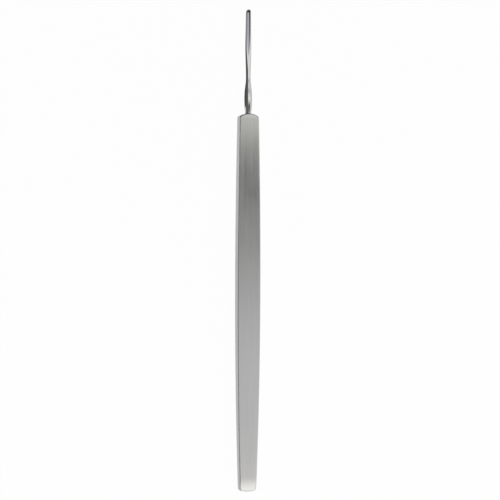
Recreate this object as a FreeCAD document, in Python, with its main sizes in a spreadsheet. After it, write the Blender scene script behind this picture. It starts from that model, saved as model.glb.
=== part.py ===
# Foreign body gouge: one slender bar of stainless steel, forged, turned and ground.
# A flat handle carries a waisted round stem. The stem's end is ground flat in front, hollowed by
# a ball-ended cutter and bevelled from behind, which leaves a sharp rounded edge at the tip.
# Frame: the bar lies on its back on the floor, +Y runs to the tip, +Z is the front, lengths in mm.
# Inside the body the origin is on the stem's axis, at the top of the handle's rounded head.

import FreeCAD, Part
import math
import os
import Sketcher

Vector = FreeCAD.Vector

# The driving sizes: name, value in millimetres or degrees, what it is.
SIZES = [
    ("handle_length", 98.0, "from the butt to the top of the head"),
    ("widest_place", 46.0, "from the top of the head to the widest section"),
    ("widest_width", 6.15, "handle across its widest section"),
    ("head_narrowing", 1.05, "how much narrower the handle is, level with the top of the head"),
    ("butt_narrowing", 1.77, "how much narrower the handle is, level with the butt"),
    ("head_arc", 4.2, "radius of the head in the front view"),
    ("head_corner", 0.5, "radius of the head's two corners"),
    ("butt_arc", 9.5, "radius of the butt in the front view"),
    ("butt_corner", 0.9, "radius of the butt's two corners"),
    ("crown_place", 17.0, "from the top of the head to the thickest section"),
    ("crown_thickness", 3.0, "handle through its thickest section"),
    ("head_thickness", 2.9, "handle through, level with the top of the head"),
    ("butt_thickness", 2.4, "handle through, where the front face starts to roll off"),
    ("roll_length", 3.5, "length of the rolled-off stretch of the front face at the butt"),
    ("roll_radius", 16.0, "radius of that stretch in the side view"),
    ("edge_round", 0.3, "rounding of every long and short edge of the handle"),
    ("axis_height", 1.45, "stem's axis above the handle's back"),
    ("stem_length", 27.0, "from the top of the head to the tip"),
    ("stem_root", 2.0, "length of the stem that runs on inside the head"),
    ("foot_round", 0.35, "hollow rounding where the stem leaves the head"),
    ("bulge_place", 3.5, "from the top of the head to the stem's bulge"),
    ("bulge_radius", 1.0, "stem's radius at the bulge"),
    ("bulge_sweep", 26.0, "radius of the bulge's outline in the side view"),
    ("neck_place", 9.5, "from the top of the head to the neck"),
    ("neck_radius", 0.55, "stem's radius at the neck"),
    ("shaft_place", 18.3, "from the top of the head to the shaft's fullest section"),
    ("shaft_radius", 0.71, "stem's radius there"),
    ("tip_radius", 0.64, "stem's radius level with the tip"),
    ("flat_height", 0.385, "ground flat above the stem's axis, at the tip"),
    ("flat_rise", 0.01, "ground flat above the neck, where it has left the stem"),
    ("cutter_radius", 0.55, "ball-ended cutter that hollows the flat"),
    ("channel_depth", 0.27, "depth of the hollow below the flat, at the cutter's ball"),
    ("channel_length", 11.8, "from the tip to where the hollow runs out"),
    ("ball_inset", 0.64, "from the tip to the centre of the cutter's ball"),
    ("nose_radius", 0.72, "radius of the sharp edge in the front view"),
    ("bevel_angle", 45.0, "slope of the bevel behind the edge"),
    ("heel_round", 0.4, "rounding where the bevel meets the stem's back"),
    ("overrun", 1.0, "how far a cutting outline runs past what it cuts"),
]


def make_sheet(doc):
    """The spreadsheet that holds every driving size, one row a size."""
    sheet = doc.addObject("Spreadsheet::Sheet", "Sizes")
    for row, (name, value, note) in enumerate(SIZES, start=1):
        sheet.set(f"A{row}", name)
        sheet.set(f"B{row}", str(value))
        sheet.set(f"C{row}", note)
        sheet.setAlias(f"B{row}", name)
    doc.recompute()
    return sheet


doc = FreeCAD.newDocument("foreign_body_gouge")
sheet = make_sheet(doc)


def size(name):
    """A size as a plain number, for the first draft of a sketch, which its constraints then drive."""
    return float(sheet.get(name))


def arc_radius(run, drop):
    """Radius of an arc that starts level and falls by drop over run, as numbers."""
    return (run ** 2 + drop ** 2) / (2 * drop)


def arc_radius_text(run, drop):
    """The same radius as an expression on the sheet's sizes."""
    return f"(({run})^2 + ({drop})^2) / (2 * ({drop}))"


def new_sketch(body, name, role):
    """An empty sketch on one of the body's own origin planes."""
    sketch = body.newObject("Sketcher::SketchObject", name)
    plane = next(item for item in body.Origin.OriginFeatures if item.Role == role)
    sketch.AttachmentSupport = [(plane, "")]
    sketch.MapMode = "FlatFace"
    return sketch


def line(sketch, start, end, helper=False):
    """A straight line between two points given as pairs; a helper line bounds nothing."""
    return sketch.addGeometry(Part.LineSegment(Vector(*start, 0), Vector(*end, 0)), helper)


def arc(sketch, centre, start, end):
    """An arc that runs anticlockwise from start to end about its centre."""
    first = math.atan2(start[1] - centre[1], start[0] - centre[0])
    last = math.atan2(end[1] - centre[1], end[0] - centre[0])
    circle = Part.Circle(Vector(*centre, 0), Vector(0, 0, 1), math.dist(centre, start))
    return sketch.addGeometry(Part.ArcOfCircle(circle, first, last), False)


ORIGIN = (-1, 1)
CROSS_AXIS, LONG_AXIS = range(-1, -3, -1)
START, END, CENTRE = range(1, 4)

# A corner arc's centre depends on its own height a little, so it is worked out this many times over.
SETTLING_ROUNDS = 20
# A face that leans less than the first angle is a front or a back, and over the second it is a wall.
FLAT_ANGLE = 26.0
WALL_ANGLE = 84.0


def tie(sketch, kind, *what):
    """A constraint without a size, such as Coincident, Tangent or PointOnObject."""
    sketch.addConstraint(Sketcher.Constraint(kind, *what))


def drive(sketch, kind, what, start_value, text):
    """A constraint whose size follows an expression on the sheet."""
    number = sketch.addConstraint(Sketcher.Constraint(kind, *what, start_value))
    sketch.setExpression(f"Constraints[{number}]", text)


def drive_point(sketch, point, place, across=None, along=None):
    """Holds a point at signed distances from the sketch's origin; each text sizes one of them."""
    for kind, number, text in (("DistanceX", place[0], across), ("DistanceY", place[1], along)):
        if text and number < 0:
            drive(sketch, kind, (*point, *ORIGIN), -number, text)
        elif text:
            drive(sketch, kind, (*ORIGIN, *point), number, text)


def edges_of(shape, wanted):
    """The names of the edges of a shape that pass a test."""
    return [f"Edge{number}" for number, edge in enumerate(shape.Edges, start=1) if wanted(edge)]


def round_edges(body, name, radius, edges):
    """Rounds the named edges of the body's last feature."""
    before = body.Tip
    fillet = body.newObject("PartDesign::Fillet", name)
    fillet.Base = (before, edges)
    fillet.setExpression("Radius", f"Sizes.{radius}")
    return fillet


def draw_stem_profile(sketch):
    """Half of the stem's outline in the side view: across is along the stem, up is the radius."""
    root = -size("stem_root")
    tip = size("stem_length") + size("overrun")
    bulge = (size("bulge_place"), size("bulge_radius"))
    neck = (size("neck_place"), size("neck_radius"))
    shaft = (size("shaft_place"), size("shaft_radius"))
    sweep = size("bulge_sweep")
    both = arc_radius(neck[0] - bulge[0], bulge[1] - neck[1])
    hollow = both - sweep
    share = sweep / both
    bulge_centre = (bulge[0], bulge[1] - sweep)
    neck_centre = (neck[0], neck[1] + hollow)
    turn = tuple(a + share * (b - a) for a, b in zip(bulge_centre, neck_centre))
    root_point = (root, bulge_centre[1] + math.sqrt(sweep ** 2 - (root - bulge[0]) ** 2))
    gentle = arc_radius(shaft[0] - neck[0], shaft[1] - neck[1]) / 2
    middle = ((neck[0] + shaft[0]) / 2, (neck[1] + shaft[1]) / 2)
    taper = arc_radius(size("stem_length") - shaft[0], shaft[1] - size("tip_radius"))
    tip_point = (tip, shaft[1] - taper + math.sqrt(taper ** 2 - (tip - shaft[0]) ** 2))

    bulge_arc = arc(sketch, bulge_centre, turn, root_point)
    neck_arc = arc(sketch, neck_centre, turn, neck)
    rise_arc = arc(sketch, (neck[0], neck[1] + gentle), neck, middle)
    shaft_arc = arc(sketch, (shaft[0], shaft[1] - gentle), shaft, middle)
    taper_arc = arc(sketch, (shaft[0], shaft[1] - taper), tip_point, shaft)
    tip_line = line(sketch, tip_point, (tip, 0))
    axis_line = line(sketch, (tip, 0), (root, 0))
    root_line = line(sketch, (root, 0), root_point)

    tie(sketch, "Tangent", bulge_arc, START, neck_arc, START)
    tie(sketch, "Tangent", neck_arc, END, rise_arc, START)
    tie(sketch, "Tangent", rise_arc, END, shaft_arc, END)
    tie(sketch, "Tangent", shaft_arc, START, taper_arc, END)
    tie(sketch, "Coincident", taper_arc, START, tip_line, START)
    tie(sketch, "Coincident", tip_line, END, axis_line, START)
    tie(sketch, "Coincident", axis_line, END, root_line, START)
    tie(sketch, "Coincident", root_line, END, bulge_arc, END)
    tie(sketch, "PointOnObject", axis_line, START, CROSS_AXIS)
    tie(sketch, "PointOnObject", axis_line, END, CROSS_AXIS)
    tie(sketch, "Vertical", tip_line)
    tie(sketch, "Vertical", root_line)
    tie(sketch, "Equal", rise_arc, shaft_arc)
    drive_point(sketch, (bulge_arc, CENTRE), bulge_centre,
                "Sizes.bulge_place", "Sizes.bulge_sweep - Sizes.bulge_radius")
    drive(sketch, "Radius", (bulge_arc,), sweep, "Sizes.bulge_sweep")
    drive_point(sketch, (neck_arc, CENTRE), neck_centre, "Sizes.neck_place")
    drive_point(sketch, (neck_arc, END), neck, "Sizes.neck_place", "Sizes.neck_radius")
    drive_point(sketch, (shaft_arc, CENTRE), shaft, "Sizes.shaft_place")
    drive_point(sketch, (shaft_arc, START), shaft, "Sizes.shaft_place", "Sizes.shaft_radius")
    drive(sketch, "Radius", (taper_arc,), taper,
          arc_radius_text("Sizes.stem_length - Sizes.shaft_place", "Sizes.shaft_radius - Sizes.tip_radius"))
    drive_point(sketch, (axis_line, START), (tip, 0), "Sizes.stem_length + Sizes.overrun")
    drive_point(sketch, (axis_line, END), (root, 0), "Sizes.stem_root")


def add_stem(body):
    """The round stem, turned about its axis, with its root inside the head."""
    profile = new_sketch(body, "stem_profile", "YZ_Plane")
    draw_stem_profile(profile)
    stem = body.newObject("PartDesign::Revolution", "stem")
    stem.Profile = profile
    stem.ReferenceAxis = (profile, ["H_Axis"])
    return stem


def draw_handle_outline(sketch):
    """The handle in the front view: ten tangent arcs, with the top of the head at the origin."""
    length = size("handle_length")
    waist = size("widest_place")
    wide = size("widest_width") / 2
    head_side = arc_radius(waist, size("head_narrowing") / 2)
    butt_side = arc_radius(length - waist, size("butt_narrowing") / 2)
    head_arc, butt_arc = size("head_arc"), size("butt_arc")
    head_corner, butt_corner = size("head_corner"), size("butt_corner")

    def corner(centre_y, side_radius, end_radius, corner_radius, end_centre_y, towards):
        """Centre of a corner arc that touches both the right side's arc and the end's arc."""
        x = math.sqrt((side_radius - corner_radius) ** 2 - (centre_y + waist) ** 2) + wide - side_radius
        rise = math.sqrt((end_radius - corner_radius) ** 2 - x ** 2)
        return x, end_centre_y + towards * rise

    head_y = -head_corner
    butt_y = -length + butt_corner
    for _ in range(SETTLING_ROUNDS):
        head_x, head_y = corner(head_y, head_side, head_arc, head_corner, -head_arc, 1)
        butt_x, butt_y = corner(butt_y, butt_side, butt_arc, butt_corner, -length + butt_arc, -1)

    def touch(centre, corner_centre, radius):
        """Where a corner arc touches the larger arc that it sits inside."""
        reach = math.dist(centre, corner_centre)
        return tuple(c + (k - c) * radius / reach for c, k in zip(centre, corner_centre))

    def mirrored(point):
        return -point[0], point[1]

    head_centre, butt_centre = (0, -head_arc), (0, butt_arc - length)
    side_centre_up, side_centre_low = (wide - head_side, -waist), (wide - butt_side, -waist)
    head_c, butt_c = (head_x, head_y), (butt_x, butt_y)
    head_top, head_out = touch(head_centre, head_c, head_arc), touch(side_centre_up, head_c, head_side)
    butt_low, butt_out = touch(butt_centre, butt_c, butt_arc), touch(side_centre_low, butt_c, butt_side)
    right, left = (wide, -waist), (-wide, -waist)

    top = arc(sketch, head_centre, head_top, mirrored(head_top))
    left_head = arc(sketch, mirrored(head_c), mirrored(head_top), mirrored(head_out))
    left_up = arc(sketch, mirrored(side_centre_up), mirrored(head_out), left)
    left_low = arc(sketch, mirrored(side_centre_low), left, mirrored(butt_out))
    left_butt = arc(sketch, mirrored(butt_c), mirrored(butt_out), mirrored(butt_low))
    bottom = arc(sketch, butt_centre, mirrored(butt_low), butt_low)
    right_butt = arc(sketch, butt_c, butt_low, butt_out)
    right_low = arc(sketch, side_centre_low, butt_out, right)
    right_up = arc(sketch, side_centre_up, right, head_out)
    right_head = arc(sketch, head_c, head_out, head_top)

    ring = [top, left_head, left_up, left_low, left_butt,
            bottom, right_butt, right_low, right_up, right_head]
    for before, after in zip(ring, ring[1:] + ring[:1]):
        tie(sketch, "Tangent", before, END, after, START)
    tie(sketch, "PointOnObject", top, CENTRE, LONG_AXIS)
    tie(sketch, "PointOnObject", bottom, CENTRE, LONG_AXIS)
    drive(sketch, "Radius", (top,), head_arc, "Sizes.head_arc")
    drive(sketch, "Radius", (bottom,), butt_arc, "Sizes.butt_arc")
    drive(sketch, "DistanceY", (top, CENTRE, *ORIGIN), head_arc, "Sizes.head_arc")
    drive(sketch, "DistanceY", (bottom, CENTRE, *ORIGIN), length - butt_arc,
          "Sizes.handle_length - Sizes.butt_arc")
    for side in (left_head, right_head):
        drive(sketch, "Radius", (side,), head_corner, "Sizes.head_corner")
    for side in (left_butt, right_butt):
        drive(sketch, "Radius", (side,), butt_corner, "Sizes.butt_corner")
    for side in (left_up, right_up):
        drive(sketch, "Radius", (side,), head_side,
              arc_radius_text("Sizes.widest_place", "Sizes.head_narrowing / 2"))
        drive(sketch, "DistanceY", (side, CENTRE, *ORIGIN), waist, "Sizes.widest_place")
    for side in (left_low, right_low):
        drive(sketch, "Radius", (side,), butt_side,
              arc_radius_text("Sizes.handle_length - Sizes.widest_place", "Sizes.butt_narrowing / 2"))
    drive_point(sketch, (left_up, END), left, "Sizes.widest_width / 2", "Sizes.widest_place")
    drive_point(sketch, (right_low, END), right, "Sizes.widest_width / 2", "Sizes.widest_place")


def draw_front_profile(sketch):
    """What is ground off the front, in the side view: across is along the handle, up is the front."""
    axis = size("axis_height")
    over = size("overrun")
    crown = (-size("crown_place"), size("crown_thickness") - axis)
    roll_x = size("roll_length") - size("handle_length")
    head_radius = arc_radius(size("crown_place"), size("crown_thickness") - size("head_thickness"))
    butt_radius = arc_radius(crown[0] - roll_x, size("crown_thickness") - size("butt_thickness"))
    roll_radius = size("roll_radius")
    head_centre, butt_centre = (crown[0], crown[1] - head_radius), (crown[0], crown[1] - butt_radius)
    roll = (roll_x, size("butt_thickness") - axis)
    roll_centre = tuple(r + (c - r) * roll_radius / butt_radius for r, c in zip(roll, butt_centre))
    head_end = (over, head_centre[1] + math.sqrt(head_radius ** 2 - (over - crown[0]) ** 2))
    butt_x = -size("handle_length") - over
    butt_end = (butt_x, roll_centre[1] + math.sqrt(roll_radius ** 2 - (butt_x - roll_centre[0]) ** 2))
    ceiling = crown[1] + over

    head_arc = arc(sketch, head_centre, head_end, crown)
    butt_arc = arc(sketch, butt_centre, crown, roll)
    roll_arc = arc(sketch, roll_centre, roll, butt_end)
    butt_line = line(sketch, butt_end, (butt_x, ceiling))
    top_line = line(sketch, (butt_x, ceiling), (over, ceiling))
    head_line = line(sketch, (over, ceiling), head_end)

    tie(sketch, "Tangent", head_arc, END, butt_arc, START)
    tie(sketch, "Tangent", butt_arc, END, roll_arc, START)
    tie(sketch, "Coincident", roll_arc, END, butt_line, START)
    tie(sketch, "Coincident", butt_line, END, top_line, START)
    tie(sketch, "Coincident", top_line, END, head_line, START)
    tie(sketch, "Coincident", head_line, END, head_arc, START)
    tie(sketch, "Vertical", butt_line)
    tie(sketch, "Horizontal", top_line)
    tie(sketch, "Vertical", head_line)
    drive_point(sketch, (head_arc, CENTRE), crown, "Sizes.crown_place")
    drive_point(sketch, (head_arc, END), crown, "Sizes.crown_place",
                "Sizes.crown_thickness - Sizes.axis_height")
    drive(sketch, "Radius", (head_arc,), head_radius,
          arc_radius_text("Sizes.crown_place", "Sizes.crown_thickness - Sizes.head_thickness"))
    drive(sketch, "Radius", (butt_arc,), butt_radius,
          arc_radius_text("Sizes.handle_length - Sizes.roll_length - Sizes.crown_place",
                          "Sizes.crown_thickness - Sizes.butt_thickness"))
    drive(sketch, "Radius", (roll_arc,), roll_radius, "Sizes.roll_radius")
    drive_point(sketch, (roll_arc, START), roll, "Sizes.handle_length - Sizes.roll_length")
    drive_point(sketch, (top_line, START), (butt_x, ceiling), "Sizes.handle_length + Sizes.overrun",
                "Sizes.crown_thickness - Sizes.axis_height + Sizes.overrun")
    drive_point(sketch, (top_line, END), (over, ceiling), "Sizes.overrun")


def add_handle(body):
    """The flat handle: its outline padded, its front ground to a slight crown, its edges rounded."""
    outline = new_sketch(body, "handle_outline", "XY_Plane")
    draw_handle_outline(outline)
    outline.setExpression("AttachmentOffset.Base.z", "-Sizes.axis_height")
    handle = body.newObject("PartDesign::Pad", "handle")
    handle.Profile = outline
    handle.setExpression("Length", "Sizes.crown_thickness")

    profile = new_sketch(body, "front_profile", "YZ_Plane")
    draw_front_profile(profile)
    front = body.newObject("PartDesign::Pocket", "ground_front")
    front.Profile = profile
    front.Type = "Length"
    front.SideType = "Symmetric"
    front.setExpression("Length", "Sizes.widest_width + Sizes.overrun")
    doc.recompute()


def lean(face):
    """How far a face leans at its middle, in degrees: 0 for a front or back, and 90 for a wall."""
    u_low, u_high, v_low, v_high = face.ParameterRange
    facing = face.normalAt((u_low + u_high) / 2, (v_low + v_high) / 2)
    return math.degrees(math.acos(min(abs(facing.z), 1)))


def add_handle_rounding(body):
    """Rounds the edges between the handle's wall and its front and back, then the stem's foot."""
    shape = body.Tip.Shape

    def on_rim(edge):
        faces = shape.ancestorsOfType(edge, Part.Face)
        leans = sorted(lean(face) for face in faces)
        on_handle = all(face.CenterOfMass.y < 0 for face in faces)
        return on_handle and leans[0] < FLAT_ANGLE and leans[-1] > WALL_ANGLE

    round_edges(body, "rounded_edges", "edge_round", edges_of(shape, on_rim))
    doc.recompute()

    def at_foot(edge):
        box = edge.BoundBox
        near_head = max(abs(box.YMin), abs(box.YMax)) < size("foot_round")
        return near_head and size("neck_radius") < box.ZLength and box.XLength < 2 * size("bulge_radius")

    round_edges(body, "stem_foot", "foot_round", edges_of(body.Tip.Shape, at_foot))
    doc.recompute()


def draw_flat_profile(sketch):
    """What is ground off the front of the stem, in the side view."""
    tip = (size("stem_length"), size("flat_height"))
    heel = (size("neck_place"), size("neck_radius") + size("flat_rise"))
    over = size("overrun")
    slope = (tip[1] - heel[1]) / (tip[0] - heel[0])
    front_x = tip[0] + 2 * over
    front = (front_x, tip[1] + 2 * over * slope)
    ceiling = heel[1] + over

    flat = line(sketch, heel, front)
    front_line = line(sketch, front, (front_x, ceiling))
    top_line = line(sketch, (front_x, ceiling), (heel[0], ceiling))
    back_line = line(sketch, (heel[0], ceiling), heel)
    mark = sketch.addGeometry(Part.Point(Vector(*tip, 0)), True)

    ring = [flat, front_line, top_line, back_line]
    for before, after in zip(ring, ring[1:] + ring[:1]):
        tie(sketch, "Coincident", before, END, after, START)
    tie(sketch, "Vertical", front_line)
    tie(sketch, "Horizontal", top_line)
    tie(sketch, "Vertical", back_line)
    tie(sketch, "PointOnObject", mark, START, flat)
    drive_point(sketch, (mark, START), tip, "Sizes.stem_length", "Sizes.flat_height")
    drive_point(sketch, (flat, START), heel, "Sizes.neck_place", "Sizes.neck_radius + Sizes.flat_rise")
    drive_point(sketch, (top_line, START), (front_x, ceiling), "Sizes.stem_length + 2 * Sizes.overrun",
                "Sizes.neck_radius + Sizes.flat_rise + Sizes.overrun")


def draw_cutter_profile(sketch):
    """Half of the ball-ended cutter in the side view, under its own axis, where it stands in the flat."""
    tip = (size("stem_length"), size("flat_height"))
    heel = (size("neck_place"), size("neck_radius") + size("flat_rise"))
    slope = (tip[1] - heel[1]) / (tip[0] - heel[0])
    cutter = size("cutter_radius")
    over = size("overrun")

    def on_flat(x):
        return x, tip[1] + (x - tip[0]) * slope

    deep = on_flat(tip[0] - size("ball_inset"))
    shallow = on_flat(tip[0] - size("channel_length"))
    ball = (deep[0], deep[1] + cutter - size("channel_depth"))
    out = (shallow[0], shallow[1] + cutter)
    reach = math.dist(ball, out)
    ahead = ((ball[0] - out[0]) / reach, (ball[1] - out[1]) / reach)
    below = (ahead[1], -ahead[0])

    def from_point(point, forward, down):
        return tuple(p + forward * a + down * b for p, a, b in zip(point, ahead, below))

    nose = from_point(ball, cutter, 0)
    under_ball = from_point(ball, 0, cutter)
    back = from_point(out, -over, 0)
    under_back = from_point(out, -over, cutter)

    axis = line(sketch, out, ball, helper=True)
    flat = line(sketch, tip, heel, helper=True)
    deep_line = line(sketch, deep, ball, helper=True)
    shallow_line = line(sketch, shallow, out, helper=True)
    middle = line(sketch, nose, back)
    back_line = line(sketch, back, under_back)
    under = line(sketch, under_back, under_ball)
    ball_arc = arc(sketch, ball, under_ball, nose)

    drive_point(sketch, (flat, START), tip, "Sizes.stem_length", "Sizes.flat_height")
    drive_point(sketch, (flat, END), heel, "Sizes.neck_place", "Sizes.neck_radius + Sizes.flat_rise")
    for helper, end, place, text in ((deep_line, ball, deep, "Sizes.ball_inset"),
                                     (shallow_line, out, shallow, "Sizes.channel_length")):
        tie(sketch, "Vertical", helper)
        tie(sketch, "PointOnObject", helper, START, flat)
        drive_point(sketch, (helper, START), place, f"Sizes.stem_length - {text}")
    drive(sketch, "Distance", (deep_line,), ball[1] - deep[1], "Sizes.cutter_radius - Sizes.channel_depth")
    drive(sketch, "Distance", (shallow_line,), cutter, "Sizes.cutter_radius")
    tie(sketch, "Coincident", axis, START, shallow_line, END)
    tie(sketch, "Coincident", axis, END, deep_line, END)
    tie(sketch, "Coincident", middle, END, back_line, START)
    tie(sketch, "Coincident", back_line, END, under, START)
    tie(sketch, "Tangent", under, END, ball_arc, START)
    tie(sketch, "Coincident", ball_arc, END, middle, START)
    tie(sketch, "Coincident", ball_arc, CENTRE, axis, END)
    tie(sketch, "PointOnObject", middle, START, axis)
    tie(sketch, "PointOnObject", middle, END, axis)
    tie(sketch, "Perpendicular", back_line, axis)
    tie(sketch, "Parallel", under, axis)
    drive(sketch, "Radius", (ball_arc,), cutter, "Sizes.cutter_radius")
    drive(sketch, "Distance", (middle, END, axis, START), over, "Sizes.overrun")


def draw_nose_outline(sketch):
    """What the bevel takes away round the edge, drawn one overrun above the flat."""
    radius = size("nose_radius")
    over = size("overrun")
    lead = over / math.tan(math.radians(size("bevel_angle")))
    centre_y = size("stem_length") - radius + lead
    side = radius + over
    top_y = centre_y + radius + 4 * over

    edge = arc(sketch, (0, centre_y), (radius, centre_y), (-radius, centre_y))
    corners = [(-radius, centre_y), (-side, centre_y), (-side, top_y), (side, top_y), (side, centre_y),
               (radius, centre_y)]
    lines = [line(sketch, a, b) for a, b in zip(corners, corners[1:])]
    left_in, left, top, right, right_in = lines

    tie(sketch, "Coincident", edge, END, left_in, START)
    for before, after in zip(lines, lines[1:]):
        tie(sketch, "Coincident", before, END, after, START)
    tie(sketch, "Coincident", right_in, END, edge, START)
    for level in (left_in, top, right_in):
        tie(sketch, "Horizontal", level)
    for upright in (left, right):
        tie(sketch, "Vertical", upright)
    tie(sketch, "PointOnObject", edge, CENTRE, LONG_AXIS)
    tie(sketch, "PointOnObject", edge, CENTRE, left_in)
    tie(sketch, "PointOnObject", edge, CENTRE, right_in)
    drive(sketch, "Radius", (edge,), radius, "Sizes.nose_radius")
    centre_text = "Sizes.stem_length - Sizes.nose_radius + Sizes.overrun / tan(Sizes.bevel_angle * 1 deg)"
    drive(sketch, "DistanceY", (*ORIGIN, edge, CENTRE), centre_y, centre_text)
    drive_point(sketch, (left, END), (-side, top_y), "Sizes.nose_radius + Sizes.overrun",
                centre_text + " + Sizes.nose_radius + 4 * Sizes.overrun")
    drive_point(sketch, (right, START), (side, top_y), "Sizes.nose_radius + Sizes.overrun")


def add_gouge(body):
    """The gouge tip: the flat, the hollow that runs out along it, the bevel and its rounded heel."""
    flat_profile = new_sketch(body, "flat_profile", "YZ_Plane")
    draw_flat_profile(flat_profile)
    flat = body.newObject("PartDesign::Pocket", "ground_flat")
    flat.Profile = flat_profile
    flat.SideType = "Symmetric"
    flat.setExpression("Length", "2 * (Sizes.bulge_radius + Sizes.overrun)")

    cutter_profile = new_sketch(body, "cutter_profile", "YZ_Plane")
    draw_cutter_profile(cutter_profile)
    channel = body.newObject("PartDesign::Groove", "channel")
    channel.Profile = cutter_profile
    channel.ReferenceAxis = (cutter_profile, ["Axis0"])
    doc.recompute()

    nose_outline = new_sketch(body, "nose_outline", "XY_Plane")
    draw_nose_outline(nose_outline)
    nose_outline.setExpression("AttachmentOffset.Base.z", "Sizes.flat_height + Sizes.overrun")
    bevel = body.newObject("PartDesign::Pocket", "bevel")
    bevel.Profile = nose_outline
    bevel.UseCustomVector = True
    bevel.Direction = Vector(0, -1, -1)
    bevel.setExpression("Direction.y", "-cos(Sizes.bevel_angle * 1 deg)")
    bevel.setExpression("Direction.z", "-sin(Sizes.bevel_angle * 1 deg)")
    bevel.AlongSketchNormal = False
    bevel.setExpression("Length", "2 * (Sizes.overrun + Sizes.flat_height + Sizes.shaft_radius)")
    doc.recompute()
    shape = body.Tip.Shape

    def at_heel(edge):
        kinds = {type(face.Surface).__name__ for face in shape.ancestorsOfType(edge, Part.Face)}
        return "SurfaceOfExtrusion" in kinds and "Plane" not in kinds

    round_edges(body, "heel", "heel_round", edges_of(shape, at_heel))


gouge = doc.addObject("PartDesign::Body", "gouge")
gouge.Label = "gouge"
add_stem(gouge)
add_handle(gouge)
add_handle_rounding(gouge)
add_gouge(gouge)
gouge.setExpression("Placement.Base.y", "(Sizes.handle_length - Sizes.stem_length) / 2")
gouge.setExpression("Placement.Base.z", "Sizes.axis_height")
doc.recompute()


def check(document, body):
    """Stops unless every object of the model came out and the body is one valid solid."""
    for item in document.Objects:
        if "Invalid" in item.State or "Error" in item.State:
            raise RuntimeError(f"{item.Name} did not come out: {item.State}")
        if item.isDerivedFrom("Sketcher::SketchObject") and not item.FullyConstrained:
            raise RuntimeError(f"{item.Name} still has freedom")
    shape = body.Shape
    if shape.isNull() or not shape.isValid() or len(shape.Solids) != 1:
        raise RuntimeError(f"{body.Label} is not one valid solid")


check(doc, gouge)
box = gouge.Shape.optimalBoundingBox()
print(f"gouge {box.XLength:.2f} x {box.YLength:.2f} x {box.ZLength:.2f} mm, {gouge.Shape.Volume:.1f} mm3")
os.makedirs("parts", exist_ok=True)
gouge.Shape.exportStep(f"parts/{gouge.Label}.step")
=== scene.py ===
# %% [markdown]
# A foreign body gouge is one slender bar of stainless steel. Its long flat handle is ground to a
# satin finish, and its thin round stem is turned and polished. The end of the stem is ground flat,
# hollowed out and bevelled to a sharp rounded edge.
#
# This lesson dresses the imported solid of that bar. The solid fixes where everything is, so the first
# cell loads it. All that follows is built in the same frame: metres, +Y towards the tip, +Z out of
# the handle's front, and the bar lying on its back on the floor.

# %% Load the solid
import math

import bpy
from mathutils import Matrix, Vector


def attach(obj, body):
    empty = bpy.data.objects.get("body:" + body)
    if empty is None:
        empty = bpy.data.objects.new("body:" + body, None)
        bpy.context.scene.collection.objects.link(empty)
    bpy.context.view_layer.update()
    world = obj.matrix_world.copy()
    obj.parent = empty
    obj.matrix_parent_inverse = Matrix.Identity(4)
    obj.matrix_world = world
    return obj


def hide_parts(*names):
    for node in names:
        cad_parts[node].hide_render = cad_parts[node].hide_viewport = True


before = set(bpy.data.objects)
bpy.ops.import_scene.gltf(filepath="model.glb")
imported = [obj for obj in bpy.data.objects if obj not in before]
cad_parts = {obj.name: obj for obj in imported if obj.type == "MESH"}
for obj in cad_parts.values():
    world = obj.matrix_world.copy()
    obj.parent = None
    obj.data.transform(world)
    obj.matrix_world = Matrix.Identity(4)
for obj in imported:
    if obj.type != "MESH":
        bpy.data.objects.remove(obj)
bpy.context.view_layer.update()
scene = bpy.context.scene
scene.view_settings.view_transform = "Standard"

# %% [markdown]
# The picture looks down on the bar from a little to its left, so that a thin strip of the left wall
# shows beside the handle's front. A camera can be placed by trial, but here it is worked out. The
# picture is 500 pixels wide, and the 125 mm bar fills 482 of them, which gives the width of the view.
# The lens is long, because nothing in the picture runs together with distance.

# %% Place the camera
MM = 0.001
VIEW_SIDE = math.radians(15)
VIEW_DISTANCE = 0.85
PICTURE_PIXELS, BAR_PIXELS, BAR_LENGTH = 500, 482.1, 125
VIEW_WIDTH = PICTURE_PIXELS * BAR_LENGTH / BAR_PIXELS * MM
VIEW_CENTRE = Vector((0.54 * MM, 0.12 * MM, 1.6 * MM))
VIEW_LEAN = math.radians(0.13)
SENSOR = 36

camera_data = bpy.data.cameras.new("camera")
camera_data.sensor_width = SENSOR
camera_data.lens = SENSOR * VIEW_DISTANCE / VIEW_WIDTH
camera_data.clip_start = 0.01
camera = bpy.data.objects.new("camera", camera_data)
scene.collection.objects.link(camera)
scene.camera = camera
turned = Matrix.Rotation(-VIEW_SIDE, 4, "Y") @ Matrix.Rotation(VIEW_LEAN, 4, "Z")
back = turned.to_3x3() @ Vector((0, 0, 1))
camera.matrix_world = Matrix.Translation(VIEW_CENTRE + back * VIEW_DISTANCE) @ turned
print(f"camera {VIEW_DISTANCE} m away, lens {camera_data.lens:.0f} mm, looks from",
      tuple(round(v, 3) for v in back))

# %% [markdown]
# The handle's outline in the front view is ten arcs that run smoothly into each other: the head, two
# corners, four long bellied sides, two more corners and the butt. It could be drawn with a Bezier
# curve and its handles, but plain arithmetic is exact and easy to read. Each arc has a centre and a
# radius, and a corner arc touches its neighbours where the line through both centres meets them.
# Sizes are in millimetres, with the origin on the stem's axis at the top of the head.

# %% Work out the handle's outline
HANDLE_LENGTH = 98.0
WIDEST_PLACE = 46.0
WIDEST_WIDTH = 6.15
HEAD_NARROWING, BUTT_NARROWING = 1.05, 1.77
HEAD_ARC, HEAD_CORNER = 4.2, 0.5
BUTT_ARC, BUTT_CORNER = 9.5, 0.9
SETTLING_ROUNDS = 20


def arc_radius(run, drop):
    """Radius of an arc that starts level and falls by drop over run."""
    return (run ** 2 + drop ** 2) / (2 * drop)


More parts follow.
